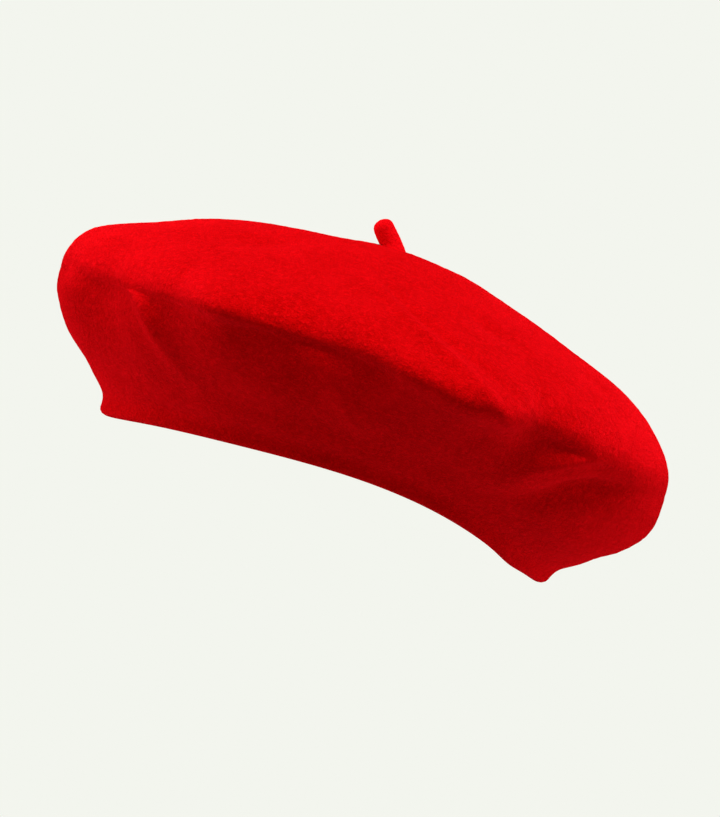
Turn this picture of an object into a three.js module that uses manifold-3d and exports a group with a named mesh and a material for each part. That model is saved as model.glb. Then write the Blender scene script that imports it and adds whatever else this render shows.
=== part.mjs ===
// A lined wool felt beret in the shape it takes on a head.
// Millimetres, +Z up. The forehead is towards -Y and the nape towards +Y, with the wearer's left at +X.
// The origin is the middle of the head opening, level with the brow edge at forehead and nape.
// Every piece is first turned or laid out round, as on a hat block, and wear() then gives it the worn shape.
import * as THREE from "three";
import { mergeVertices } from "three/addons/utils/BufferGeometryUtils.js";
import Module from "manifold-3d";

const wasm = await Module();
wasm.setup();

// The head opening. Its edge is an oval that arches up over the ears.
const browRadius = 94.5; // mean radius outside the folded edge
const browOval = 0.064; // the share by which the edge is longer, and narrower, than round
const browArch = 21.5; // rise of the edge over each ear
const archLean = 9; // degrees round the edge that the arch's top lies towards the nape

// The crown, as blocked
const crownRadius = 132.5; // at its widest
const crownOval = 0.0264;
const crownHeight = 107; // brow edge to the middle of the top
const widestHeight = 52;
const topFlat = 43; // how far out the top stays nearly level
const shoulderFullness = 27; // how far the side stands up above the widest line
const underFullness = 15; // and how far it drops straight below that line
const tuckWidth = 12.7; // the underside levels out over this width before it meets the band
const tuckRise = 11;
const crownForward = 3.5; // how far the crown sits towards the forehead
const topForward = 10; // and its top, further than that
const topSlump = 6; // the top stands this much higher at the nape, and lower at the forehead
const underSlump = 2.8; // the underside hangs this much lower at the nape, and higher at the forehead

// Felt
const feltThickness = 2.2;
const hemHeight = 8; // the upright band of turned-in felt
const hemThickness = 4.6; // two layers, pressed
const hemShoulder = 2; // how far the inner layer stands above the band

// Stalk
const stalkRadius = 4.5;
const stalkReach = 8.6; // from the point it bends about to its tip
const stalkWaist = 2.6; // its radius where it leaves the crown
const stalkTipLength = 3; // its rounded end
const stalkLean = 43; // degrees from upright, towards the forehead
const rootRadius = 1.8;
const rootButtonRadius = 5;
const rootButtonThickness = 1.6;

// Lining
const liningThickness = 0.6;
const liningGap = 1.2; // between felt and lining at the seam
const liningSlack = 5; // how much lower than that the lining hangs in the middle
const liningSeamGap = 0.8;

// Leather sweatband
const sweatbandThickness = 1.2;
const sweatbandHeight = 25;
const sweatbandSetBack = 1.2; // its lower edge stands this far above the brow edge

// Labels
const wovenLabelWidth = 48;
const wovenLabelDepth = 28;
const labelThickness = 0.5;
const careLabelWidth = 18;
const careLabelDrop = 2; // its sewn edge is this far below the sweatband's upper edge
const careLabelFoot = 2.8; // and its lower end this far above the sweatband's stitching

// Thread
const threadRadius = 0.4;
const zigzagReach = 2; // how far each stitch reaches from the sweatband's join
const zigzagPitch = 2.4;
const stitchMargin = 1.6; // from a label's edge to its stitching
const sweatbandStitchHeight = 4;
const tackReach = 3.6; // half length of the tacks on the stalk's root

const clearance = 0.4; // between pieces that touch
const segments = 56;

const { smoothstep, degToRad } = THREE.MathUtils;
const point = (radius, height) => new THREE.Vector2(radius, height);

const hemInner = browRadius - hemThickness;
const hemTop = hemHeight + hemShoulder;
const sweatbandOuter = hemInner - clearance;
const sweatbandInner = sweatbandOuter - sweatbandThickness;
const sweatbandTop = sweatbandSetBack + sweatbandHeight;

// ---- the worn shape ----

// Moves a point of the blocked hat to where it lies on the head.
function wear(p) {
  const radial = Math.hypot(p.x, p.y);
  const towardNape = radial > 0 ? p.y / radial : 1;
  const leant = Math.asin(towardNape) - degToRad(archLean) * (1 - towardNape ** 2);
  const sideways = Math.cos(leant) ** 2;
  const arch = browArch * sideways * smoothstep(radial, 0, browRadius / 2);
  const archFade = 1 - smoothstep(p.z, sweatbandTop, crownHeight);
  const out = smoothstep(p.z, hemHeight, widestHeight);
  const over = smoothstep(p.z, 0.8 * widestHeight, 0.8 * crownHeight);
  const beneath = smoothstep(p.z, hemHeight, 3 * hemHeight) - smoothstep(p.z, 3 * hemHeight, 1.15 * widestHeight);
  const slump = ((topSlump * over - underSlump * beneath) * p.y) / crownRadius;
  const oval = browOval + (crownOval - browOval) * out;
  const forward = crownForward * out + topForward * smoothstep(p.z, widestHeight, crownHeight);
  return new THREE.Vector3(p.x * (1 - oval), p.y * (1 + oval) - forward, p.z + arch * archFade + slump);
}

function worn(geometry) {
  const at = geometry.getAttribute("position");
  const p = new THREE.Vector3();
  for (let i = 0; i < at.count; i++) {
    const moved = wear(p.fromBufferAttribute(at, i));
    at.setXYZ(i, moved.x, moved.y, moved.z);
  }
  geometry.computeVertexNormals();
  return geometry;
}

// ---- the blocked outline, from the middle of the top (0) past the widest line (1) to the band (2) ----

const top = new THREE.CubicBezierCurve(
  point(0, crownHeight),
  point(topFlat, crownHeight),
  point(crownRadius, widestHeight + shoulderFullness),
  point(crownRadius, widestHeight),
);
const under = new THREE.CubicBezierCurve(
  point(crownRadius, widestHeight),
  point(crownRadius, widestHeight - underFullness),
  point(browRadius + tuckWidth, hemHeight + tuckRise),
  point(browRadius + 0.5, hemHeight),
);

// A point of the outline, moved in towards the head by depth.
function outline(place, depth = 0) {
  const curve = place < 1 ? top : under;
  const t = place < 1 ? place : place - 1;
  const p = curve.getPoint(t);
  const along = curve.getTangent(t);
  return point(Math.max(0, p.x + along.y * depth), p.y - along.x * depth);
}

function layer(from, to, steps, depthAt) {
  const places = Array.from({ length: steps + 1 }, (_, i) => from + ((to - from) * i) / steps);
  return places.map((place) => outline(place, depthAt(place)));
}

const innerFelt = () => feltThickness;
const liningFace = (place) => feltThickness + liningGap + liningSlack * Math.max(0, 1 - place) ** 2;
const liningBack = (place) => liningFace(place) + liningThickness;

// Height of one of those layers above a point of the top, by its radius.
function heightAt(radius, depthAt) {
  const line = layer(0, 1, 60, depthAt);
  const i = Math.max(1, line.findIndex((p) => p.x >= radius));
  const [a, b] = [line[i - 1], line[i]];
  return a.y + ((b.y - a.y) * (radius - a.x)) / (b.x - a.x);
}

// ---- solids ----

// Turns a closed outline, or one that ends on the axis, round the Z axis.
function turned(profile) {
  return new THREE.LatheGeometry(profile, segments).rotateX(Math.PI / 2);
}

function threadRing(radius, height) {
  return worn(new THREE.TorusGeometry(radius, threadRadius, 5, segments).translate(0, 0, height));
}

// A thread along points that are already in their worn place.
function thread(points, steps, radius = threadRadius) {
  const section = new THREE.Shape().absarc(0, 0, radius, 0, 2 * Math.PI);
  return new THREE.ExtrudeGeometry(section, {
    extrudePath: new THREE.CatmullRomCurve3(points),
    steps,
    curveSegments: 3,
  });
}

function asSolid(geometry) {
  const bare = geometry.clone().deleteAttribute("normal").deleteAttribute("uv");
  const merged = mergeVertices(bare, 1e-4);
  const index = new Uint32Array(merged.index.array);
  return new wasm.Manifold(
    new wasm.Mesh({ numProp: 3, vertProperties: merged.getAttribute("position").array, triVerts: index }),
  );
}

function asGeometry(solid) {
  const mesh = solid.getMesh();
  const geometry = new THREE.BufferGeometry();
  geometry.setAttribute("position", new THREE.BufferAttribute(mesh.vertProperties, 3));
  geometry.setIndex(new THREE.BufferAttribute(mesh.triVerts, 1));
  geometry.computeVertexNormals();
  return geometry;
}

// ---- the felt ----

function crown() {
  const holeRadius = rootRadius + clearance;
  const foldRadius = hemThickness / 2;
  const fold = Array.from({ length: 5 }, (_, i) => {
    const angle = (Math.PI * i) / 4;
    return point(browRadius - foldRadius + foldRadius * Math.cos(angle), foldRadius * (1 - Math.sin(angle)));
  });
  const profile = [
    point(holeRadius, crownHeight),
    ...layer(0.07, 1, 10, () => 0),
    ...layer(1.14, 2, 6, () => 0),
    ...fold,
    point(hemInner, hemTop),
    ...layer(0.07, 2, 14, innerFelt).reverse(),
    point(holeRadius, crownHeight - feltThickness),
    point(holeRadius, crownHeight),
  ];
  return worn(turned(profile.reverse()));
}

// The stalk's foot is a ball round the point that it bends about.
function stalk() {
  const tip = Array.from({ length: 5 }, (_, i) => {
    const angle = (Math.PI / 8) * i;
    return point(stalkRadius * Math.cos(angle), stalkReach + stalkTipLength * (Math.sin(angle) - 1));
  });
  const foot = Array.from({ length: 5 }, (_, i) => {
    const angle = (Math.PI / 8) * (i - 4);
    return point(stalkWaist * Math.cos(angle), stalkWaist * Math.sin(angle));
  });
  tip[4].x = 0;
  foot[0].x = 0;
  return new THREE.LatheGeometry([...foot, ...tip], 16).rotateX(Math.PI / 2);
}

function stalkRoot() {
  const button = heightAt(rootButtonRadius, innerFelt) - clearance;
  return worn(
    turned([
      point(0, button - rootButtonThickness),
      point(rootButtonRadius * 0.8, button - rootButtonThickness),
      point(rootButtonRadius, button - rootButtonThickness / 2),
      point(rootButtonRadius * 0.8, button),
      point(rootRadius, button),
      point(rootRadius, crownHeight),
      point(0, crownHeight),
    ]),
  );
}

// Two crossed tacks under the root's button.
function stalkTacks() {
  const height = heightAt(rootButtonRadius, innerFelt) - rootButtonThickness - 2 * clearance - threadRadius;
  const arm = (x, y) => {
    const bar = new THREE.BoxGeometry(2 * x, 2 * y, 2 * threadRadius).translate(0, 0, height);
    return asSolid(worn(bar));
  };
  return asGeometry(arm(tackReach, threadRadius).add(arm(threadRadius, tackReach)));
}

// ---- the lining ----

function liningTip() {
  const last = 1 - liningSeamGap / 2 / (3 * shoulderFullness);
  return worn(
    turned([...layer(0, last, 8, liningFace), ...layer(0, last, 8, liningBack).reverse()].reverse()),
  );
}

function liningSide() {
  const first = 1 + liningSeamGap / 2 / (3 * underFullness);
  const outside = layer(first, 1.97, 6, liningFace);
  const inside = layer(first, 1.97, 6, liningBack).reverse();
  return worn(turned([...outside, ...inside, outside[0]].reverse()));
}

// ---- the labels ----

const wovenLabelTop = (radius) => heightAt(radius, liningBack) - clearance;

function wovenLabel() {
  const cloth = new THREE.BoxGeometry(wovenLabelWidth, wovenLabelDepth, labelThickness, 8, 6, 1);
  const at = cloth.getAttribute("position");
  for (let i = 0; i < at.count; i++) {
    const radius = Math.hypot(at.getX(i), at.getY(i));
    at.setZ(i, at.getZ(i) - labelThickness / 2 + wovenLabelTop(radius));
  }
  return worn(cloth);
}

// One thread round the label, under it, with a short gap where the sewing starts and ends.
function wovenLabelThread() {
  const halfWidth = wovenLabelWidth / 2 - stitchMargin;
  const halfDepth = wovenLabelDepth / 2 - stitchMargin;
  const height = (x, y) => wovenLabelTop(Math.hypot(x, y)) - labelThickness - clearance - threadRadius;
  const side = (x0, y0, x1, y1) =>
    [0.1, 0.36, 0.64, 0.9].map((t) => [x0 + (x1 - x0) * t, y0 + (y1 - y0) * t]);
  const route = [
    ...side(-halfWidth, -halfDepth, halfWidth, -halfDepth),
    ...side(halfWidth, -halfDepth, halfWidth, halfDepth),
    ...side(halfWidth, halfDepth, -halfWidth, halfDepth),
    ...side(-halfWidth, halfDepth, -halfWidth, -halfDepth),
  ];
  return thread(
    route.map(([x, y]) => wear(new THREE.Vector3(x, y, height(x, y)))),
    48,
  );
}

// The care label hangs plumb from its sewn upper edge, at the wearer's right. The sweatband narrows
// downwards, so the label's lower end sets how far in it stands.
const careLabelEnd = sweatbandStitchHeight + threadRadius + careLabelFoot;
const careLabelLength = sweatbandTop - careLabelDrop - careLabelEnd;
const sweatbandFace = (height) => wear(new THREE.Vector3(-sweatbandInner, 0, height));
const careLabelEdge = sweatbandFace(sweatbandTop - careLabelDrop);
careLabelEdge.x = sweatbandFace(careLabelEnd).x + 2 * clearance + labelThickness;

function careLabel() {
  const half = labelThickness / 2;
  const tape = new THREE.Shape();
  tape.moveTo(-half, -careLabelLength);
  tape.lineTo(half, -careLabelLength);
  tape.lineTo(half, 0);
  tape.absarc(0, 0, half, 0, Math.PI);
  tape.closePath();
  return new THREE.ExtrudeGeometry(tape, { depth: careLabelWidth, bevelEnabled: false, curveSegments: 4 })
    .translate(0, 0, -careLabelWidth / 2)
    .rotateX(Math.PI / 2);
}

function careLabelTack() {
  const halfLength = careLabelWidth / 2 - stitchMargin;
  const height = careLabelEdge.z + labelThickness / 2 + clearance + threadRadius;
  return thread(
    [-halfLength, 0, halfLength].map((y) => new THREE.Vector3(careLabelEdge.x, y, height)),
    6,
  );
}

// ---- the sweatband ----

function sweatband() {
  const steps = 4;
  const face = (radius) =>
    Array.from({ length: steps + 1 }, (_, i) => point(radius, sweatbandSetBack + (sweatbandHeight * i) / steps));
  const outer = face(sweatbandOuter);
  const ring = asSolid(worn(turned([...outer, ...face(sweatbandInner).reverse(), outer[0]])));
  // The strip's ends meet at the nape.
  const join = new THREE.BoxGeometry(clearance, 2 * browRadius, 3 * sweatbandTop).translate(0, browRadius, 0);
  return asGeometry(ring.subtract(asSolid(join)));
}

function sweatbandJoinThread() {
  const radius = sweatbandInner - clearance - threadRadius;
  const start = sweatbandStitchHeight + 2 * threadRadius + clearance;
  const count = Math.floor((sweatbandTop - stitchMargin - start) / zigzagPitch);
  const route = Array.from({ length: count + 1 }, (_, i) =>
    wear(new THREE.Vector3(i % 2 ? zigzagReach : -zigzagReach, radius, start + i * zigzagPitch)),
  );
  return thread(route, 5 * count);
}

// ---- assembly ----

const redFelt = { color: 0xc40a0e, roughness: 0.95, metalness: 0 };
const redThread = { color: 0xa00d10, roughness: 0.7, metalness: 0 };
const blackThread = { color: 0x15120f, roughness: 0.7, metalness: 0 };
const satin = { color: 0x8d0c12, roughness: 0.35, metalness: 0 };
const leather = { color: 0x1c1512, roughness: 0.5, metalness: 0 };
const labelCloth = { color: 0x1a1718, roughness: 0.6, metalness: 0 };
const whiteTape = { color: 0xe9e6df, roughness: 0.6, metalness: 0 };

const beret = new THREE.Group();

function add(name, geometry, finish) {
  const mesh = new THREE.Mesh(geometry, new THREE.MeshStandardMaterial(finish));
  mesh.name = name;
  beret.add(mesh);
  return mesh;
}

add("crown", crown(), redFelt);
add("stalk_root", stalkRoot(), redFelt);
add("stalk_root_tacks", stalkTacks(), redThread);

const stalkMesh = add("stalk", stalk(), redFelt);
stalkMesh.position.copy(wear(new THREE.Vector3(0, 0, crownHeight + clearance + stalkWaist)));
stalkMesh.rotation.x = degToRad(stalkLean);

add("lining_tip", liningTip(), satin);
add("lining_side", liningSide(), satin);
const seam = outline(1, liningBack(1) + clearance + threadRadius);
add("lining_seam_thread", threadRing(seam.x, seam.y), redThread);
const liningEdge = (sweatbandOuter + outline(1.97, liningBack(1.97)).x) / 2;
add("lining_hem_thread", threadRing(liningEdge, hemTop + clearance + threadRadius), redThread);

add("sweatband", sweatband(), leather);
add("sweatband_thread", threadRing(sweatbandInner - clearance - threadRadius, sweatbandStitchHeight), blackThread);
add("sweatband_join_thread", sweatbandJoinThread(), blackThread);

add("woven_label", wovenLabel(), labelCloth);
add("woven_label_thread", wovenLabelThread(), blackThread);
add("care_label", careLabel(), whiteTape).position.copy(careLabelEdge);
add("care_label_tack", careLabelTack(), blackThread);

export default beret;
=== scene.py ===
import bmesh
import bpy
import math
import numpy as np
from mathutils import Matrix, Vector


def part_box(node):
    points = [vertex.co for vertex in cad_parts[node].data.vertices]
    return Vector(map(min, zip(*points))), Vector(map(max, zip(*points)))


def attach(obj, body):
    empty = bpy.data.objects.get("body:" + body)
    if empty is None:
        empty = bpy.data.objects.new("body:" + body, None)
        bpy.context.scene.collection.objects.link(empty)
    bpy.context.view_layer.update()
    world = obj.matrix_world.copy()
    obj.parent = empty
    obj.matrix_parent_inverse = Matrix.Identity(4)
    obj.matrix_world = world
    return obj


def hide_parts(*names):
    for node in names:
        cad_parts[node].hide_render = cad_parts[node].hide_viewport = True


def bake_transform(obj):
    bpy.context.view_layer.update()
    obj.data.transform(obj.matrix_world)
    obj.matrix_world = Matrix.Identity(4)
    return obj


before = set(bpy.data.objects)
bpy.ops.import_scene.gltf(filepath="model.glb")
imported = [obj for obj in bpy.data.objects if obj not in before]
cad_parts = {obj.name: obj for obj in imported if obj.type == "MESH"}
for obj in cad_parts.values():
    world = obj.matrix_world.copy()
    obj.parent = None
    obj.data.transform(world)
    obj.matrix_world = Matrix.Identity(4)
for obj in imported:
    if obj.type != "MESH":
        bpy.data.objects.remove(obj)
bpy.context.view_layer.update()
mm = 0.001


def smooth(value, start, end):
    t = np.clip((value - start) / (end - start), 0, 1)
    return t * t * (3 - 2 * t)


def cloud(points, size, seed=0):
    # soft random heights from -1 to 1, in lumps of that size
    q = np.asarray(points, float) / size + 1000
    cell = np.floor(q).astype(np.int64)
    t = q - cell
    t = t * t * (3 - 2 * t)
    total = np.zeros(q.shape[:-1])
    for corner in range(8):
        step = np.array([corner & 1, corner >> 1 & 1, corner >> 2 & 1])
        c = cell + step
        h = (c[..., 0] * 73856093) ^ (c[..., 1] * 19349663) ^ (c[..., 2] * 83492791) ^ (seed * 97531)
        h = ((h ^ (h >> 13)) * 1274126177) & 0xFFFFFFFF
        h = (h ^ (h >> 15)) * 2246822519 & 0xFFFFFFFF
        value = ((h ^ (h >> 16)) & 0xFFFF) / 32767.5 - 1
        total += value * np.prod(np.where(step, t, 1 - t), axis=-1)
    return total


def meshOf(name, points, faces):
    mesh = bpy.data.meshes.new(name)
    mesh.from_pydata([tuple(p) for p in points], [], [tuple(f) for f in faces])
    outward = bmesh.new()
    outward.from_mesh(mesh)
    bmesh.ops.recalc_face_normals(outward, faces=outward.faces)
    outward.to_mesh(mesh)
    outward.free()
    mesh.polygons.foreach_set("use_smooth", [True] * len(mesh.polygons))
    mesh.update()
    made = bpy.data.objects.new(name, mesh)
    bpy.context.scene.collection.objects.link(made)
    return made


def gridFaces(rows, columns, closedRows=False, closedColumns=True, first=0):
    r = np.arange(rows if closedRows else rows - 1)
    c = np.arange(columns if closedColumns else columns - 1)
    r, c = np.meshgrid(r, c, indexing="ij")
    nextR, nextC = (r + 1) % rows, (c + 1) % columns
    quads = np.stack([r * columns + c, r * columns + nextC, nextR * columns + nextC, nextR * columns + c], -1)
    return quads.reshape(-1, 4) + first


def turnedMesh(name, rows, poles=True):
    # rows of points that go round; the end rows close on a point each, or else on each other
    rows = np.asarray(rows)
    count, columns = rows.shape[:2]
    points = rows.reshape(-1, 3)
    if not poles:
        return meshOf(name, points, gridFaces(count, columns, closedRows=True))
    points = np.concatenate([points, [rows[0].mean(0)], [rows[-1].mean(0)]])
    first, last, end = len(points) - 2, len(points) - 1, (count - 1) * columns
    faces = gridFaces(count, columns).tolist()
    for c in range(columns):
        d = (c + 1) % columns
        faces += [(first, d, c), (last, end + c, end + d)]
    return meshOf(name, points, faces)


def slab(name, front, back):
    # two faces of rows and columns, closed round their edges
    rows, columns = front.shape[:2]
    behind = rows * columns
    index = np.arange(behind).reshape(rows, columns)
    edge = np.concatenate([index[0], index[1:, -1], index[-1, -2::-1], index[-2:0:-1, 0]])
    following = np.roll(edge, -1)
    sides = np.stack([edge, edge + behind, following + behind, following], -1)
    face = gridFaces(rows, columns, closedColumns=False)
    points = np.concatenate([front.reshape(-1, 3), back.reshape(-1, 3)])
    return meshOf(name, points, np.concatenate([face, face[:, ::-1] + behind, sides]))


def unit(vectors):
    return vectors / np.maximum(np.linalg.norm(vectors, axis=-1, keepdims=True), 1e-12)


def stitches(name, starts, ends, away, radius, rise=0.7):
    # a short thread from each start to each end, standing off the cloth and sinking in at both ends
    starts, ends = np.asarray(starts, float), np.asarray(ends, float)
    away = np.broadcast_to(np.asarray(away, float), starts.shape)
    along = unit(ends - starts)
    away = unit(away - along * (away * along).sum(-1, keepdims=True))
    side = np.cross(along, away)
    rings, columns = 7, 8
    t = np.linspace(0, 1, rings)
    lift = radius * ((1 + rise) * (1 - (2 * t - 1) ** 4) - 1)
    wide = radius * np.sqrt(1 - (0.95 * (2 * t - 1)) ** 6)
    turn = bearings(columns)
    middle = starts[:, None] + (ends - starts)[:, None] * t[:, None] + away[:, None] * lift[:, None]
    around = np.cos(turn)[:, None] * away[:, None, None] + np.sin(turn)[:, None] * side[:, None, None]
    points = middle[:, :, None] + wide[:, None, None] * around
    each = rings * columns
    faces = []
    for first in range(0, len(starts) * each, each):
        faces += gridFaces(rings, columns, first=first).tolist()
        faces += [range(first, first + columns), range(first + each - columns, first + each)]
    return meshOf(name, points.reshape(-1, 3), faces)


def stitchRow(name, path, away, radius, pitch, gap=0.3, closed=True):
    # a row of stitches along close points
    path, away = np.asarray(path), np.broadcast_to(np.asarray(away, float), np.shape(path))
    if closed:
        path, away = np.concatenate([path, path[:1]]), np.concatenate([away, away[:1]])
    run = np.concatenate([[0], np.cumsum(np.linalg.norm(np.diff(path, axis=0), axis=1))])
    count = round(run[-1] / pitch)
    step = run[-1] / count

    def at(where, values):
        return np.stack([np.interp(where * step, run, values[:, k]) for k in range(3)], -1)

    n = np.arange(count)
    return stitches(name, at(n + gap / 2, path), at(n + 1 - gap / 2, path), at(n + 0.5, away), radius)


def place(made, body, nodes=()):
    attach(made, body)
    if nodes:
        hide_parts(*nodes)
    return made


# The worn shape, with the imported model's sizes in millimetres. Only napeFlare is not in that model.
shape = {
    "browRadius": 94.5,
    "browOval": 0.064,
    "browArch": 21.5,
    "archSkew": 0.16,  # radians that the arch's top leans towards the nape
    "crownRadius": 132.5,
    "crownOval": 0.0264,
    "crownHeight": 107,
    "widestHeight": 52,
    "napeFlare": 2.4,  # how far the band's lower edge turns in at the nape
    "topFlat": 43,
    "shoulderFullness": 27,
    "underFullness": 15,
    "tuckWidth": 12.7,
    "tuckRise": 11,
    "crownForward": 3.5,
    "topForward": 10,
    "topSlump": 6,
    "underSlump": 2.8,
    "feltThickness": 2.2,
    "hemHeight": 8,
    "hemThickness": 4.6,
    "hemShoulder": 2,
    "sweatbandTop": 26.2,
    "liningGap": 1.2,
    "liningSlack": 5,
}

# Hollows (minus) and swells (plus) that handling has left on the crown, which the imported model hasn't. Each is an
# oval patch: its bearing in degrees from +X towards the nape, its spot on the outline, its half sizes in degrees and
# in outline, how its spot shifts over 100 degrees of bearing, and its height in millimetres.
folds = [
    (-24, 0.96, 8, 0.11, 0.3, 2.5),
    (18, 1.04, 10, 0.17, 0.3, 5.5),
    (41, 1.22, 8, 0.10, -2.9, 3.5),
    (48, 1.38, 10, 0.10, -2.2, -5.0),
    (12, 0.74, 12, 0.06, 2.4, 2.5),
    (13, 0.64, 9, 0.05, 1.8, -2.5),
    (33, 0.51, 8, 0.06, 0.5, -2.5),
    (64, 0.62, 7, 0.05, 0.0, -1.5),
    (-43, 0.44, 10, 0.08, 0.0, -3),
    (56, 1.72, 14, 0.12, 0.0, 2.0),
    (-43, 1.28, 7, 0.12, 3.8, 3.5),
    (-57, 1.32, 6, 0.26, 1.5, -2.5),
    (-68, 1.25, 7, 0.35, 0.0, 2.0),
    (-2, 1.52, 9, 0.13, 3.3, 1.2),
    (5, 1.92, 55, 0.09, 0.0, 2.0),
    (-90, 1.02, 36, 0.20, 0.0, -3.4),
    (-90, 0.74, 36, 0.13, 0.0, 3.2),
    (-90, 1.55, 40, 0.15, 0.0, 1.4),
    (-90, 0.45, 50, 0.15, 0.0, 0.8),
    (90, 0.66, 34, 0.10, 0.0, 1.2),
    (90, 0.98, 26, 0.14, 0.0, -1.8),
    (90, 1.30, 30, 0.15, 0.0, 1.2),
    (90, 1.70, 30, 0.12, 0.0, -1.2),
]
# The edge of the top on the wearer's left, where the side drops away: bearing, spot, how far the side falls in.
shoulderEdge = [
    (-92, 0.82, 0),
    (-72, 0.74, 3),
    (-55, 0.69, 9),
    (-38, 0.75, 9),
    (-26, 0.91, 5),
    (-18, 0.76, 9),
    (-10, 0.66, 14),
    (1, 0.79, 9),
    (8, 0.93, 3),
    (16, 0.99, 1),
    (23, 0.96, 3),
    (34, 0.77, 10),
    (48, 0.80, 8),
    (68, 0.80, 3),
    (92, 0.85, 0),
]
# The same as folds on the flat of the top, by blocked x and y, half sizes and height.
topSwells = [
    (-15, -24, 60, 22, -2.0),
    (-15, 36, 60, 15, 1.6),
]
# Where the brow edge lifts (plus) or drops: bearing, half width in degrees, millimetres.
browWaves = [
    (54, 7, -1.0),
    (-45, 22, 0.9),
    (132, 10, 1.2),
    (-140, 12, 0.8),
]


def outline(spot, depth=0.0):
    # radius, height and outward normal at a spot from the top (0) past the widest line (1) to the band (2)
    s = shape
    top = [
        (0, s["crownHeight"]),
        (s["topFlat"], s["crownHeight"]),
        (s["crownRadius"], s["widestHeight"] + s["shoulderFullness"]),
        (s["crownRadius"], s["widestHeight"]),
    ]
    under = [
        (s["crownRadius"], s["widestHeight"]),
        (s["crownRadius"], s["widestHeight"] - s["underFullness"]),
        (s["browRadius"] + s["tuckWidth"], s["hemHeight"] + s["tuckRise"]),
        (s["browRadius"] + 0.5, s["hemHeight"]),
    ]
    spot = np.asarray(spot, float)
    t = np.where(spot < 1, spot, spot - 1)[..., None]
    p = [np.where((spot < 1)[..., None], a, b) for a, b in zip(np.array(top, float), np.array(under, float))]
    u = 1 - t
    at = u**3 * p[0] + 3 * u * u * t * p[1] + 3 * u * t * t * p[2] + t**3 * p[3]
    along = 3 * (u * u * (p[1] - p[0]) + 2 * u * t * (p[2] - p[1]) + t * t * (p[3] - p[2]))
    along /= np.linalg.norm(along, axis=-1, keepdims=True)
    out = np.stack([-along[..., 1], along[..., 0]], -1)
    at = at - out * np.asarray(depth)[..., None]
    return np.maximum(at[..., 0], 0), at[..., 1], out


def wear(x, y, z):
    s = shape
    radial = np.hypot(x, y)
    towardNape = np.divide(y, radial, out=np.zeros_like(radial), where=radial > 1e-6)
    leant = np.arcsin(np.clip(towardNape, -1, 1)) - s["archSkew"] * (1 - towardNape**2)
    sideways = np.where(radial > 1e-6, np.cos(leant) ** 2, 0)
    arch = s["browArch"] * sideways * smooth(radial, 0, s["browRadius"] / 2)
    archFade = 1 - smooth(z, s["sweatbandTop"], s["crownHeight"])
    out = smooth(z, s["hemHeight"], s["widestHeight"])
    over = smooth(z, 0.8 * s["widestHeight"], 0.8 * s["crownHeight"])
    low = 3 * s["hemHeight"]
    beneath = smooth(z, s["hemHeight"], low) - smooth(z, low, 1.15 * s["widestHeight"])
    slump = (s["topSlump"] * over - s["underSlump"] * beneath) * y / s["crownRadius"]
    oval = s["browOval"] + (s["crownOval"] - s["browOval"]) * out
    forward = s["crownForward"] * out + s["topForward"] * smooth(z, s["widestHeight"], s["crownHeight"])
    for atX, atY, halfX, halfY, height in topSwells:
        patch = np.exp(-(((x - atX) / halfX) ** 2) - ((y - atY) / halfY) ** 2)
        slump = slump + height * patch * smooth(z, s["widestHeight"], 0.7 * s["crownHeight"])
    for at, half, height in browWaves:
        turn = (np.degrees(np.arctan2(y, x)) - at + 180) % 360 - 180
        slump = slump + height * np.exp(-((turn / half) ** 2)) * (1 - smooth(z, 6, 34)) * smooth(radial, 20, 80)
    flare = s["napeFlare"] * np.clip(z / s["hemHeight"] - 1, -1, 0.4) * smooth(towardNape, 0.3, 1)
    flare = flare * (1 - smooth(z, s["sweatbandTop"], s["widestHeight"])) * smooth(radial, 20, 80)
    return np.stack([x * (1 - oval), y * (1 + oval) - forward + flare, z + arch * archFade + slump], -1)


def foldHeight(bearing, spot):
    total = np.zeros(np.broadcast(bearing, spot).shape)
    for at, where, alongHalf, acrossHalf, slant, height in folds:
        turn = (np.degrees(bearing) - at + 180) % 360 - 180
        a = turn / alongHalf
        b = (spot - where - slant * turn / 100) / acrossHalf
        total += height * np.exp(-(a * a + b * b))
    turn = np.clip((np.degrees(bearing) + 180) % 360 - 180, shoulderEdge[0][0], shoulderEdge[-1][0])
    for (start, startSpot, startDepth), (end, endSpot, endDepth) in zip(shoulderEdge, shoulderEdge[1:]):
        t = smooth(turn, start, end)
        edge, depth = startSpot + (endSpot - startSpot) * t, startDepth + (endDepth - startDepth) * t
        falls = depth * smooth(spot, edge - 0.1, np.maximum(edge + 0.3, 1.02)) * (1 - smooth(spot, 1.1, 1.65))
        total -= falls * ((turn >= start) & (turn < end))
    return total


def skin(bearing, spot, depth=0.0, extra=0.0):
    # points of the crown at a depth under its outside, in metres; bearing runs from +X towards the nape
    bearing, spot, depth = np.broadcast_arrays(*(np.asarray(v, float) for v in (bearing, spot, depth)))
    lift = foldHeight(bearing, spot) + extra
    radius, height, out = outline(spot, depth - lift)
    return wear(radius * np.cos(bearing), radius * np.sin(bearing), height) * mm


def bandPoints(bearing, radius, height):
    # points given by their blocked radius and height, such as those of the hem and the sweatband
    bearing, radius, height = np.broadcast_arrays(*(np.asarray(v, float) for v in (bearing, radius, height)))
    return wear(radius * np.cos(bearing), radius * np.sin(bearing), height) * mm


def bearings(count):
    return np.arange(count) / count * 2 * np.pi


class Socket:
    def __init__(self, paint, socket):
        self.paint, self.socket = paint, socket

    def maths(self, operation, *values):
        return self.paint.node("Math", {"operation": operation}, dict(enumerate(values)))

    def __add__(self, other):
        return self.maths("ADD", self, other)

    __radd__ = __add__

    def __mul__(self, other):
        return self.maths("MULTIPLY", self, other)

    __rmul__ = __mul__


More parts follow.
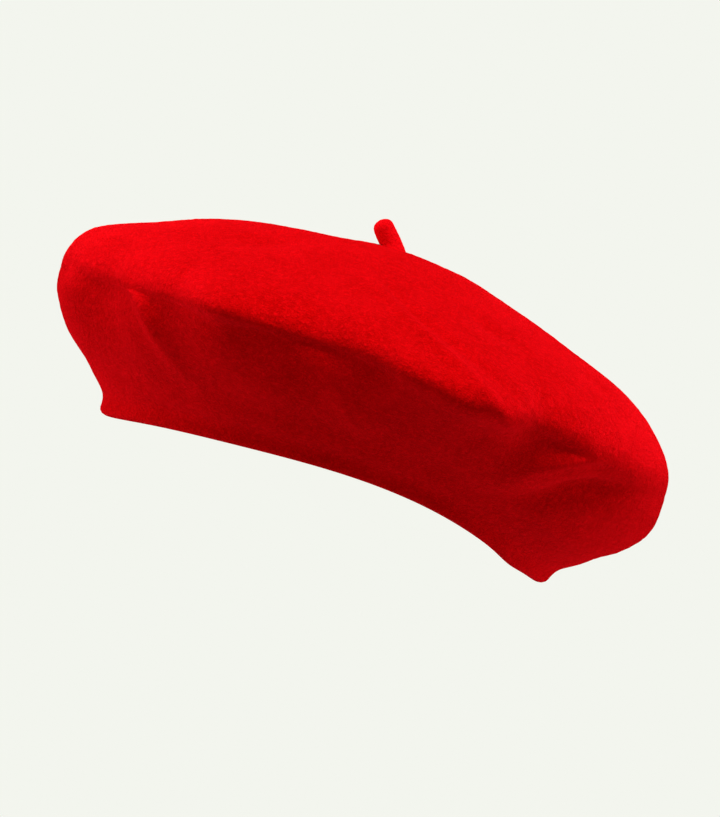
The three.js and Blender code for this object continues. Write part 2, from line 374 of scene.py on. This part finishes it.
class Paint:
    # a material and the nodes in it
    def __init__(self, name):
        self.material = bpy.data.materials.new(name)
        self.material.use_nodes = True
        self.tree = self.material.node_tree
        self.tree.nodes.clear()

    def node(self, kind, settings=None, sockets=None, output=0):
        made = self.tree.nodes.new("ShaderNode" + kind)
        for key, value in (settings or {}).items():
            setattr(made, key, value)
        for key, value in (sockets or {}).items():
            if isinstance(value, Socket):
                self.tree.links.new(value.socket, made.inputs[key])
            elif made.inputs[key].type == "RGBA":
                made.inputs[key].default_value = (*value, 1)
            else:
                made.inputs[key].default_value = value
        return Socket(self, made.outputs[output])

    def mix(self, factor, a, b):
        return self.node("Mix", {"data_type": "RGBA"}, {0: factor, 6: a, 7: b}, 2)

    def between(self, value, low, high, toLow=0.0, toHigh=1.0):
        return self.node(
            "MapRange", {"interpolation_type": "SMOOTHSTEP"}, {0: value, 1: low, 2: high, 3: toLow, 4: toHigh}
        )

    def where(self):
        return self.node("TexCoord", output=3)

    def noise(self, at, perMetre, detail=3, roughness=0.5, distortion=0.0):
        sockets = {"Vector": at, "Scale": perMetre, "Detail": detail, "Roughness": roughness}
        return self.node("TexNoise", {}, {**sockets, "Distortion": distortion})

    def stretched(self, at, scale, rotation=(0, 0, 0)):
        return self.node("Mapping", {}, {"Vector": at, "Scale": scale, "Rotation": rotation})

    def bump(self, height, distance, strength=1.0):
        return self.node("Bump", {}, {"Height": height, "Distance": distance, "Strength": strength})

    def surface(self, **sockets):
        named = {key.replace("_", " "): value for key, value in sockets.items()}
        shader = self.node("BsdfPrincipled", {}, named)
        return self.finish(shader)

    def finish(self, shader):
        out = self.tree.nodes.new("ShaderNodeOutputMaterial")
        self.tree.links.new(shader.socket, out.inputs["Surface"])
        return self.material


def paintOn(made, material):
    made.data.materials.clear()
    made.data.materials.append(material)
    return made


feltLook = {
    "colour": (0.70, 0.0010, 0.0014),
    "dark": (0.56, 0.0006, 0.0008),
    "light": (0.92, 0.0022, 0.0052),
    "tufts": 480,  # lumps to the metre
    "grain": 1500,
    "patches": 75,
    "specks": 330,
    "hairs": (260, 1500, 1500),
    "crossHairs": (1500, 300, 1500),
    "relief": 0.0012,
    "roughness": 0.95,
    "sheen": 0.9,
    "sheenRoughness": 0.35,
    "sheenTint": (1, 0.008, 0.017),
}


# lift mixes the whole felt towards its light colour: painted light, for a copy that looks more brightly lit
def feltMaterial(name, lift=0.0):
    look = feltLook
    p = Paint(name)
    at = p.where()
    tufts = p.noise(at, look["tufts"], 5, 0.62, 0.25)
    grain = p.noise(at, look["grain"], 3, 0.65, 0.3)
    patches = p.noise(at, look["patches"], 3, 0.55)
    hairs = p.noise(p.stretched(at, look["hairs"], (0.4, 0.2, 0.7)), 1, 3, 0.6, 0.8)
    crossHairs = p.noise(p.stretched(at, look["crossHairs"], (0.3, 0.5, 0.2)), 1, 3, 0.6, 0.8)
    specks = p.noise(at, look["specks"], 4, 0.7, 0.4)
    tone = 0.3 * tufts + 0.3 * grain + 0.2 * hairs + 0.2 * crossHairs
    colour = p.mix(p.between(tone, 0.43, 0.55), look["dark"], look["colour"])
    colour = p.mix(0.75 * p.between(tone, 0.5, 0.60), colour, look["light"])
    # the random lighter patches are the felt's own tone; lift adds painted light over all of it
    colour = p.mix(lift + 0.25 * p.between(patches, 0.35, 0.7), colour, look["light"])
    colour = p.mix(0.6 * p.between(specks, 0.44, 0.30), colour, look["dark"])
    height = 0.7 * tufts + 0.6 * grain + 0.35 * hairs + 0.3 * crossHairs + 0.5 * specks
    return p.surface(
        Base_Color=colour,
        Roughness=look["roughness"],
        Specular_IOR_Level=0.0,
        Sheen_Weight=look["sheen"],
        Sheen_Roughness=look["sheenRoughness"],
        Sheen_Tint=look["sheenTint"],
        Normal=p.bump(height, look["relief"]),
    )


def satinMaterial(name, colour, darker):
    p = Paint(name)
    at = p.where()
    weave = p.noise(p.stretched(at, (9000, 900, 3000)), 1, 2, 0.5)
    soft = p.noise(at, 90, 3, 0.5)
    base = p.mix(p.between(soft + 0.3 * weave, 0.4, 0.9), darker, colour)
    return p.surface(
        Base_Color=base,
        Roughness=p.between(weave, 0.3, 0.7, 0.28, 0.42),
        Specular_IOR_Level=0.4,
        Normal=p.bump(weave, 0.0001, 0.5),
    )


def leatherMaterial(name):
    p = Paint(name)
    at = p.where()
    cells = p.node("TexVoronoi", {"feature": "DISTANCE_TO_EDGE"}, {"Vector": at, "Scale": 1100.0})
    crease = p.between(cells, 0.0, 0.12)
    worn = p.noise(at, 70, 3, 0.6)
    base = p.mix(p.between(worn, 0.35, 0.75), (0.012, 0.009, 0.007), (0.034, 0.026, 0.021))
    return p.surface(
        Base_Color=base,
        Roughness=p.between(worn, 0.3, 0.7, 0.42, 0.6),
        Specular_IOR_Level=0.45,
        Normal=p.bump(crease, 0.00012, 0.5),
    )


def threadMaterial(name, colour):
    p = Paint(name)
    at = p.where()
    twist = p.noise(at, 5200, 2, 0.5, 0.8)
    dark = tuple(c * 0.55 for c in colour)
    return p.surface(
        Base_Color=p.mix(p.between(twist, 0.35, 0.65), dark, colour),
        Roughness=p.between(twist, 0.3, 0.7, 0.5, 0.7),
        Specular_IOR_Level=0.4,
        Normal=p.bump(twist, 0.00008, 0.8),
    )


def tapeMaterial(name, colour, shade, ribs):
    p = Paint(name)
    at = p.where()
    ribbing = p.node("TexWave", {"bands_direction": "Y"}, {"Vector": at, "Scale": ribs, "Distortion": 0.6})
    soft = p.noise(at, 400, 3, 0.5)
    return p.surface(
        Base_Color=p.mix(p.between(0.6 * ribbing + 0.5 * soft, 0.2, 0.9), shade, colour),
        Roughness=p.between(soft, 0.3, 0.7, 0.5, 0.65),
        Normal=p.bump(ribbing, 0.00008, 0.6),
    )


redFelt = feltMaterial("redFelt")
# the stalk's felt is a lighter copy of the red felt: painted light, so that its shaded side looks as bright as the
# lit top
stalkPaintedLightFelt = feltMaterial("stalkPaintedLightFelt", lift=0.9)
redSatin = satinMaterial("redSatin", (0.42, 0.010, 0.016), (0.26, 0.006, 0.010))
blackLeather = leatherMaterial("blackLeather")
redThread = threadMaterial("redThread", (0.36, 0.01, 0.016))
blackThread = threadMaterial("blackThread", (0.03, 0.027, 0.025))
labelCloth = tapeMaterial("labelCloth", (0.05, 0.045, 0.05), (0.018, 0.016, 0.018), 900.0)
whiteTape = tapeMaterial("whiteTape", (0.80, 0.78, 0.73), (0.62, 0.60, 0.56), 900.0)
print("materials done")


crownLook = {
    "columns": 560,
    "topRows": 100,
    "underRows": 44,
    "insideRows": 12,
    "hemRows": 7,
    "tufts": 0.16,  # how far the felt's surface rises and falls, in millimetres
    "waves": 0.5,
}


def feltRelief(bearing, spot):
    # the felt's own unevenness, over the blocked shape so that it stays put as sizes change
    radius, height, _ = outline(spot)
    at = np.stack([radius * np.cos(bearing), radius * np.sin(bearing), height + 0 * bearing], -1)
    fade = smooth(radius, 4, 14)
    tufts = cloud(at, 2.6, 1) + 0.6 * cloud(at, 1.5, 2)
    waves = cloud(at, 34, 3) + 0.5 * cloud(at, 15, 4)
    return crownLook["tufts"] * tufts + crownLook["waves"] * waves * fade


def crownFelt():
    look, s = crownLook, shape
    a = bearings(look["columns"])
    spots = np.concatenate([
        np.linspace(0.012, 1, look["topRows"]),
        np.linspace(1, 2, look["underRows"])[1:],
    ])
    bearing, spot = np.meshgrid(a, spots)
    outside = skin(bearing, spot, 0, feltRelief(bearing, spot))
    fold = s["hemThickness"] / 2
    band = bandPoints(a, s["browRadius"], np.array([[6.9], [5.8], [4.7], [3.5]]))
    turn = np.linspace(0, np.pi, look["hemRows"])[:, None]
    hem = bandPoints(a, s["browRadius"] - fold + fold * np.cos(turn), fold * (1 - np.sin(turn)))
    hemTop = bandPoints(a, s["browRadius"] - s["hemThickness"], [[s["hemHeight"] + s["hemShoulder"]]])
    inner = np.linspace(2, 0.04, look["insideRows"])
    bearing, spot = np.meshgrid(a, inner)
    inside = skin(bearing, spot, s["feltThickness"])
    rows = np.concatenate([outside, band, hem, hemTop, inside])
    corner = len(outside)
    for _ in range(10):  # the felt rolls into its band without an edge
        between = slice(corner - 7, corner + 3)
        rows[between] = 0.5 * rows[between] + 0.25 * (rows[corner - 8 : corner + 2] + rows[corner - 6 : corner + 4])
    return turnedMesh("crownFelt", rows)


crown = paintOn(crownFelt(), redFelt)
place(crown, "hat", ["crown"])
print("crown done", len(crown.data.polygons), "faces")


stalkLook = {
    "foot": (0, -9.7, 105.8),  # in the crown's felt
    "tip": (0, -20.0, 115.6),
    "radius": 4.6,
    "tipLength": 4.6,  # over which its end rounds off
    "flare": 1.6,  # how much wider it is where it grows out of the crown
    "rows": 44,
    "columns": 72,
    "tufts": 0.1,
}


def stalkFelt():
    look = stalkLook
    foot, tip = np.array(look["foot"]), np.array(look["tip"])
    total = np.linalg.norm(tip - foot)
    lean = math.atan2(foot[1] - tip[1], tip[2] - foot[2])
    a = bearings(look["columns"])
    rows = []
    for t in np.linspace(0, 1, look["rows"]):
        tilt = lean * smooth(t, 0.0, 0.45)  # its foot lies along the crown, then it squares up to its own axis
        side, up = np.array([1, 0, 0]), np.array([0, math.cos(tilt), math.sin(tilt)])
        toTip = min(1, (1 - t) * total / look["tipLength"])
        radius = look["radius"] * (1 - 0.05 * math.sin(math.pi * t)) + look["flare"] * math.exp(-t * 7.5)
        radius *= math.sqrt(max(0, 1 - (1 - toTip) ** 2.2))
        rows.append(foot + (tip - foot) * t + radius * (np.outer(np.cos(a), side) + np.outer(np.sin(a), up)))
    rows = np.array(rows)
    out = unit(rows - rows.mean(1, keepdims=True))
    rows = rows + out * (look["tufts"] * (cloud(rows, 2.3, 11) + 0.7 * cloud(rows, 1.2, 12)))[..., None]
    return turnedMesh("stalkFelt", rows * mm)


stalk = paintOn(stalkFelt(), stalkPaintedLightFelt)
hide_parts("stalk")
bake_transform(stalk)
print("stalk done")


rootLook = {
    "radius": 5,
    "thickness": 1.6,
    "gap": 0.3,
    "tackReach": 3.4,
    "tackApart": 0.9,
    "threadRadius": 0.26,
}


def stalkButton():
    # a round of felt that the stalk is sewn to through the crown
    look = rootLook
    top = shape["crownHeight"] - shape["feltThickness"] - look["gap"]
    half = look["thickness"] / 2
    turn = np.linspace(-np.pi / 2, np.pi / 2, 9)
    radius = np.concatenate([[0.6, 2, 3.2], look["radius"] - half + half * np.cos(turn), [3.2, 2, 0.6]])
    height = np.concatenate([[top - 2 * half] * 3, top - half + half * np.sin(turn), [top] * 3])
    a = bearings(48)
    x, y = radius[:, None] * np.cos(a), radius[:, None] * np.sin(a)
    rows = np.stack([x, y, height[:, None] + 0 * x], -1)
    z = rows[..., 2] + 0.12 * cloud(rows, 1.6, 31) * np.sign(height - top + half)[:, None]
    return turnedMesh("stalkButton", wear(x, y, z) * mm)


def stalkButtonTacks():
    look = rootLook
    reach, apart = look["tackReach"], look["tackApart"] / 2
    height = shape["crownHeight"] - shape["feltThickness"] - look["gap"] - look["thickness"]
    lines = [(-reach, -apart, reach, -apart), (-reach, apart, reach, apart)]
    lines += [(side * apart, -reach, side * apart, reach) for side in (-1, 1)]
    starts = [wear(*map(np.array, (float(x), float(y), height))) for x, y, _, _ in lines]
    ends = [wear(*map(np.array, (float(x), float(y), height))) for _, _, x, y in lines]
    return stitches(
        "stalkButtonTacks", np.array(starts) * mm, np.array(ends) * mm, (0, 0, -1), look["threadRadius"] * mm, 1.2
    )


place(paintOn(stalkButton(), redFelt), "hat", ["stalk_root"])
place(paintOn(stalkButtonTacks(), redThread), "hat", ["stalk_root_tacks"])
print("stalk root done")


liningLook = {
    "columns": 320,
    "tipRows": 64,
    "sideRows": 30,
    "thickness": 0.4,
    "seamGap": 0.4,
    "sideEnd": 1.97,
    "gathers": 92,
    "gatherHeight": 0.4,
    "creases": 0.5,
    "seamRidge": 0.5,
    "threadRadius": 0.2,
    "seamPitch": 2.6,
    "hemPitch": 4.2,
    "tipFlat": 0.280,
    "sideFlat": (0.280, 0.186),  # across the ring that it is cut as, outside and inside
}


def liningDepth(spot):
    s = shape
    return s["feltThickness"] + s["liningGap"] + s["liningSlack"] * np.maximum(0, 1 - np.asarray(spot, float)) ** 2


def liningRipple(bearing, spot):
    # gathers along the seam, and soft creases where nothing holds the satin
    look = liningLook
    radius, height, _ = outline(spot)
    at = np.stack([radius * np.cos(bearing), radius * np.sin(bearing), height + 0 * bearing], -1)
    nearSeam = np.exp(-(((spot - 1) / 0.11) ** 2))
    gathers = np.sin(bearing * look["gathers"] + 2.5 * cloud(at, 50, 21))
    creases = cloud(at, 24, 22) + 0.4 * cloud(at, 9, 23)
    ridge = np.exp(-(((spot - 1) / 0.02) ** 2))
    free = smooth(radius, 26, 48) * (1 - smooth(spot, 1.6, 1.9))
    return look["gatherHeight"] * gathers * nearSeam + look["creases"] * creases * free - look["seamRidge"] * ridge


def liningSkin(bearing, spot, behind=0.0):
    return skin(bearing, spot, liningDepth(spot) + behind, liningRipple(bearing, spot))


def liningTip():
    look = liningLook
    last = 1 - look["seamGap"] / (3 * shape["shoulderFullness"])
    bearing, spot = np.meshgrid(bearings(look["columns"]), np.linspace(0.02, last, look["tipRows"]))
    face, back = liningSkin(bearing, spot), liningSkin(bearing, spot, look["thickness"])
    return turnedMesh("liningTip", np.concatenate([face, back[::-1]]))


def liningSide():
    look = liningLook
    first = 1 + look["seamGap"] / (3 * shape["underFullness"])
    bearing, spot = np.meshgrid(bearings(look["columns"]), np.linspace(first, look["sideEnd"], look["sideRows"]))
    face, back = liningSkin(bearing, spot), liningSkin(bearing, spot, look["thickness"])
    return turnedMesh("liningSide", np.concatenate([face, back[::-1]]), poles=False)


def liningSeam():
    look = liningLook
    a = bearings(900)
    path = skin(a, 1.0, liningDepth(1.0) + look["thickness"] + look["seamRidge"] + 0.1, 0)
    away = np.stack([-np.cos(a), -np.sin(a), 0 * a], -1)
    return stitchRow("liningSeam", path, away, look["threadRadius"] * mm, look["seamPitch"] * mm)


def liningHemStitches():
    # slip stitches that hold the lining's lower edge to the top of the hem
    look = liningLook
    a = bearings(900)
    edge, _, _ = outline(look["sideEnd"], liningDepth(look["sideEnd"]) + look["thickness"])
    height = shape["hemHeight"] + shape["hemShoulder"] + 0.5
    path = bandPoints(a, (shape["browRadius"] - shape["hemThickness"] + edge) / 2, height)
    away = np.stack([-0.5 * np.cos(a), -0.5 * np.sin(a), 0 * a + 0.85], -1)
    return stitchRow("liningHemStitches", path, away, look["threadRadius"] * mm, look["hemPitch"] * mm, gap=0.45)


tip = place(paintOn(liningTip(), redSatin), "hat", ["lining_tip"])
side = place(paintOn(liningSide(), redSatin), "hat", ["lining_side"])
seam = place(paintOn(liningSeam(), redThread), "hat", ["lining_seam_thread"])
hem = place(paintOn(liningHemStitches(), redThread), "hat", ["lining_hem_thread"])
print("lining done")


bandLook = {
    "bottom": 1.2,
    "top": 26.2,
    "middleRadius": 88.9,
    "thickness": 1.2,
    "slit": 0.4,
    "columns": 440,
    "rows": 40,
    "groove": 0.16,
    "waves": 0.45,
    "stitchHeight": 4,
    "stitchPitch": 2.8,
    "threadRadius": 0.22,
    "zigzagReach": 2,
    "zigzagPitch": 2.4,
}


def sweatbandFaces(bearing, height):
    # inner and outer radius of the strip; its free upper part lies a little wavy
    look = bandLook
    half, middle = look["thickness"] / 2, (look["top"] + look["bottom"]) / 2
    pastFlat = np.maximum(0, abs(height - middle) - (look["top"] - look["bottom"]) / 2 + half) / half
    thick = half * np.sqrt(np.maximum(0.02, 1 - pastFlat**2))
    at = np.stack([40 * np.cos(bearing), 40 * np.sin(bearing), 0.6 * height], -1)
    wave = look["waves"] * (0.5 + 0.5 * cloud(at, 11, 41)) * smooth(height, 8, 24)
    groove = look["groove"] * np.exp(-(((height - look["stitchHeight"]) / 0.5) ** 2))
    return look["middleRadius"] - wave - thick + groove, look["middleRadius"] - wave + thick


def leatherSweatband():
    look = bandLook
    slit = look["slit"] / 2 / look["middleRadius"]
    a = np.pi / 2 + np.linspace(slit, 2 * np.pi - slit, look["columns"])
    t = np.linspace(-1, 1, look["rows"])
    t = np.sin(t * np.pi / 2) * 0.25 + t * 0.75  # closer rows where the edges are rounded
    span = (look["top"] - look["bottom"]) / 2
    bearing, height = np.meshgrid(a, look["bottom"] + span + span * t)
    inside, outside = sweatbandFaces(bearing, height)
    return slab("leatherSweatband", bandPoints(bearing, inside, height), bandPoints(bearing, outside, height))


def sweatbandStitches():
    look = bandLook
    a = bearings(1200)
    inside, _ = sweatbandFaces(a, look["stitchHeight"] + 0 * a)
    path = bandPoints(a, inside, look["stitchHeight"])
    away = np.stack([-np.cos(a), -np.sin(a), 0 * a], -1)
    return stitchRow("sweatbandStitches", path, away, look["threadRadius"] * mm, look["stitchPitch"] * mm)


def sweatbandJoin():
    # a zigzag that draws the strip's two ends together at the nape
    look = bandLook
    start = look["stitchHeight"] + 1.2
    count = int((look["top"] - 1.6 - start) / look["zigzagPitch"])
    n = np.arange(count + 1)
    reach = np.where(n % 2, look["zigzagReach"], -look["zigzagReach"])
    height = start + n * look["zigzagPitch"]
    bearing = np.pi / 2 - reach / look["middleRadius"]
    inside, _ = sweatbandFaces(bearing, height)
    path = bandPoints(bearing, inside, height)
    return stitches("sweatbandJoin", path[:-1], path[1:], (0, -1, 0), look["threadRadius"] * mm)


place(paintOn(leatherSweatband(), blackLeather), "hat", ["sweatband"])
place(paintOn(sweatbandStitches(), blackThread), "hat", ["sweatband_thread"])
place(paintOn(sweatbandJoin(), blackThread), "hat", ["sweatband_join_thread"])
print("sweatband done")


labelLook = {
    "width": 48,
    "depth": 28,
    "thickness": 0.4,
    "margin": 1.6,
    "puff": 0.35,
    "gap": 0.15,
    "turnedEnd": 3.0,  # how far its short ends are folded under
    "threadRadius": 0.18,
    "stitchPitch": 2.2,
}


def underLining(x, y, below):
    # points that far under the lining near the middle of the top, by blocked x and y
    spots = np.linspace(0, 0.6, 240)
    layer = liningLook["thickness"]
    radius, _, _ = outline(spots, liningDepth(spots) + layer)
    spot = np.interp(np.hypot(x, y), radius, spots)
    bearing = np.arctan2(y, x)
    return skin(bearing, spot, liningDepth(spot) + layer + below, liningRipple(bearing, spot))


def wovenLabel():
    look = labelLook
    halfX, halfY = look["width"] / 2, look["depth"] / 2
    x, y = np.meshgrid(np.linspace(-halfX, halfX, 97), np.linspace(-halfY, halfY, 57))
    toEdge = np.minimum(halfX - abs(x), halfY - abs(y))
    at = np.stack([x, y, 0 * x], -1)
    puff = look["puff"] * smooth(toEdge, look["margin"], look["margin"] + 4) * (0.6 + 0.4 * cloud(at, 9, 51))
    sewn = 0.12 * np.exp(-(((toEdge - look["margin"]) / 0.5) ** 2))
    turned = 0.25 * (1 - smooth(halfX - abs(x), look["turnedEnd"] - 0.3, look["turnedEnd"] + 0.3))
    top = look["gap"] + puff
    bottom = top + look["thickness"] + turned - sewn
    return slab("wovenLabel", underLining(x, y, top), underLining(x, y, bottom))


def wovenLabelStitches():
    look = labelLook
    halfX, halfY = look["width"] / 2 - look["margin"], look["depth"] / 2 - look["margin"]
    t = np.linspace(-1, 1, 60)[:-1]
    x = np.concatenate([t * halfX, halfX + 0 * t, -t * halfX, -halfX + 0 * t])
    y = np.concatenate([-halfY + 0 * t, t * halfY, halfY + 0 * t, -t * halfY])
    path = underLining(x, y, look["gap"] + look["thickness"] + 0.1)
    return stitchRow("wovenLabelStitches", path, (0, 0, -1), look["threadRadius"] * mm, look["stitchPitch"] * mm)


woven = place(paintOn(wovenLabel(), labelCloth), "hat", ["woven_label"])
wovenSewing = place(paintOn(wovenLabelStitches(), blackThread), "hat", ["woven_label_thread"])

careLook = {
    "thickness": 0.17,
    "apart": 0.2,  # half the space between the tape's two layers
    "bow": 0.5,
    "tackThreads": 24,
    "threadRadius": 0.2,
}


def careLabel():
    # a folded tape that hangs from its two sewn ends
    look = careLook
    low, high = (np.array(c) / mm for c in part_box("care_label"))
    middleX, upper, length = (low[0] + high[0]) / 2, high[2] - 0.25, high[2] - low[2] - 0.5
    down, turn = np.linspace(0, 1, 26), np.linspace(0, np.pi, 9)[1:-1]
    apart = look["apart"]
    x = np.concatenate([apart + 0 * down, apart * np.cos(turn), -apart + 0 * down])
    z = np.concatenate([-down * length, -length - apart * np.sin(turn), -down[::-1] * length])
    bow = look["bow"] * np.sin(np.clip(-z / length, 0, 1) * np.pi)
    line = np.stack([x + bow, z], -1)
    along = np.gradient(line, axis=0)
    out = unit(np.stack([-along[:, 1], along[:, 0]], -1)) * look["thickness"] / 2
    y = np.linspace(low[1], high[1], 25)

    def face(side):
        p = line + side * out
        curl = 0.25 * ((y - y.mean()) / (y[-1] - y[0]) * 2) ** 2 * np.clip(-p[:, 1:] / length, 0, 1)
        return np.stack([middleX + p[:, :1] + curl, y + 0 * curl, upper + p[:, 1:] + 0 * curl], -1) * mm

    return slab("careLabel", face(1), face(-1))


def careLabelTack():
    # close stitches from the tape's upper edge to the sweatband
    look = careLook
    low, high = (np.array(c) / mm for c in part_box("care_label"))
    y = np.linspace(low[1] + 1.6, high[1] - 1.6, look["tackThreads"])
    start = np.stack([0 * y + (low[0] + high[0]) / 2, y, 0 * y + high[2] + 0.25], -1)
    height = bandLook["top"] - 1.5
    bearing = np.pi - y / bandLook["middleRadius"]
    inside, _ = sweatbandFaces(bearing, height + 0 * bearing)
    end = bandPoints(bearing, inside, height) / mm
    end[:, 1] = y
    return stitches("careLabelTack", start * mm, end * mm, (0.5, 0, 0.8), look["threadRadius"] * mm)


care = place(paintOn(careLabel(), whiteTape), "care_label", ["care_label"])
careTack = place(paintOn(careLabelTack(), blackThread), "hat", ["care_label_tack"])
print("labels done")


view = {
    "elevation": 5,
    "roll": 21.1,
    "lens": 120,
    "distance": 1.134,
    "aimRight": 0.01456,
    "aimUp": 0.0368,
}


def makeCamera():
    e, roll = math.radians(view["elevation"]), math.radians(view["roll"])
    back = Vector((math.cos(e), 0, math.sin(e)))
    level, up = Vector((0, 1, 0)), Vector((-math.sin(e), 0, math.cos(e)))
    right = level * math.cos(roll) + up * math.sin(roll)
    top = up * math.cos(roll) - level * math.sin(roll)
    data = bpy.data.cameras.new("camera")
    data.lens, data.sensor_width = view["lens"], 36
    data.clip_start, data.clip_end = 0.05, 30
    camera = bpy.data.objects.new("camera", data)
    bpy.context.scene.collection.objects.link(camera)
    aim = right * view["aimRight"] + top * view["aimUp"]
    turn = Matrix((right, top, back)).transposed().to_4x4()
    camera.matrix_world = Matrix.Translation(aim + back * view["distance"]) @ turn
    bpy.context.scene.camera = camera


# Round soft lights: where they stand, how far across they are, and their power.
softboxes = {
    "overhead": ((0.25, -0.20, 1.25), 1.0, 22.5),
    "forehead side": ((-0.75, -1.15, 0.35), 0.7, 8),
    "forehead low": ((-0.40, -1.28, -0.20), 0.7, 17),
    "nape side": ((-1.15, 0.95, 0.25), 0.7, 6),
    "nape above": ((-0.35, 1.00, 0.90), 0.7, 5),
    "nape low": ((-0.50, 1.20, -0.15), 0.7, 13),
    "front fill": ((1.50, -0.20, -0.40), 0.9, 3.6),
    "back": ((-1.40, -0.20, 0.45), 0.9, 1.5),
}
room = {
    "middle": (0, 0, 0.06),  # what the lights point at
    "seen": (0.896, 0.913, 0.855),
    "light": (0.95, 0.97, 1.0),
    "lightStrength": 0.22,
    "floorColour": (0.56, 0.57, 0.54),
    "floorHeight": -0.34,
    "floorFade": (0.36, 0.50),
}


def softbox(name, where, size, power):
    data = bpy.data.lights.new(name, "AREA")
    data.shape, data.size, data.energy = "DISK", size, power
    lamp = bpy.data.objects.new(name, data)
    bpy.context.scene.collection.objects.link(lamp)
    lamp.location = where
    lamp.rotation_mode = "QUATERNION"
    lamp.rotation_quaternion = (Vector(room["middle"]) - Vector(where)).to_track_quat("-Z", "Y")
    lamp.visible_camera = False


def makeWorld():
    world = bpy.data.worlds.new("room")
    bpy.context.scene.world = world
    world.use_nodes = True
    nodes, links = world.node_tree.nodes, world.node_tree.links
    nodes.clear()
    seen, lit = nodes.new("ShaderNodeBackground"), nodes.new("ShaderNodeBackground")
    seen.inputs["Color"].default_value = (*room["seen"], 1)
    lit.inputs["Color"].default_value = (*room["light"], 1)
    lit.inputs["Strength"].default_value = room["lightStrength"]
    path, mix = nodes.new("ShaderNodeLightPath"), nodes.new("ShaderNodeMixShader")
    out = nodes.new("ShaderNodeOutputWorld")
    links.new(path.outputs["Is Camera Ray"], mix.inputs[0])
    links.new(lit.outputs[0], mix.inputs[1])
    links.new(seen.outputs[0], mix.inputs[2])
    links.new(mix.outputs[0], out.inputs["Surface"])


def makeFloor():
    # a pale round floor that fades out, well below the hat
    radius, rings, columns = 1.6, 24, 96
    a = bearings(columns)
    r = np.linspace(0.002, radius, rings)[:, None]
    rows = np.stack([r * np.cos(a), r * np.sin(a), room["floorHeight"] + 0 * r * a], -1)
    made = meshOf("floor", rows.reshape(-1, 3), gridFaces(rings, columns))
    p = Paint("paleFloor")
    at = p.where()
    far = p.node("VectorMath", {"operation": "LENGTH"}, {0: at}, 1)
    matt = p.node("BsdfDiffuse", {}, {"Color": room["floorColour"]})
    clear = p.node("BsdfTransparent")
    p.finish(p.node("MixShader", {}, {0: p.between(far, *room["floorFade"]), 1: matt, 2: clear}))
    paintOn(made, p.material)


makeCamera()
for name, (where, size, power) in softboxes.items():
    softbox(name, where, size, power)
makeWorld()
makeFloor()
bpy.context.scene.view_settings.view_transform = "Standard"
bpy.context.scene.view_settings.look = "None"
print("camera, lights and floor done")
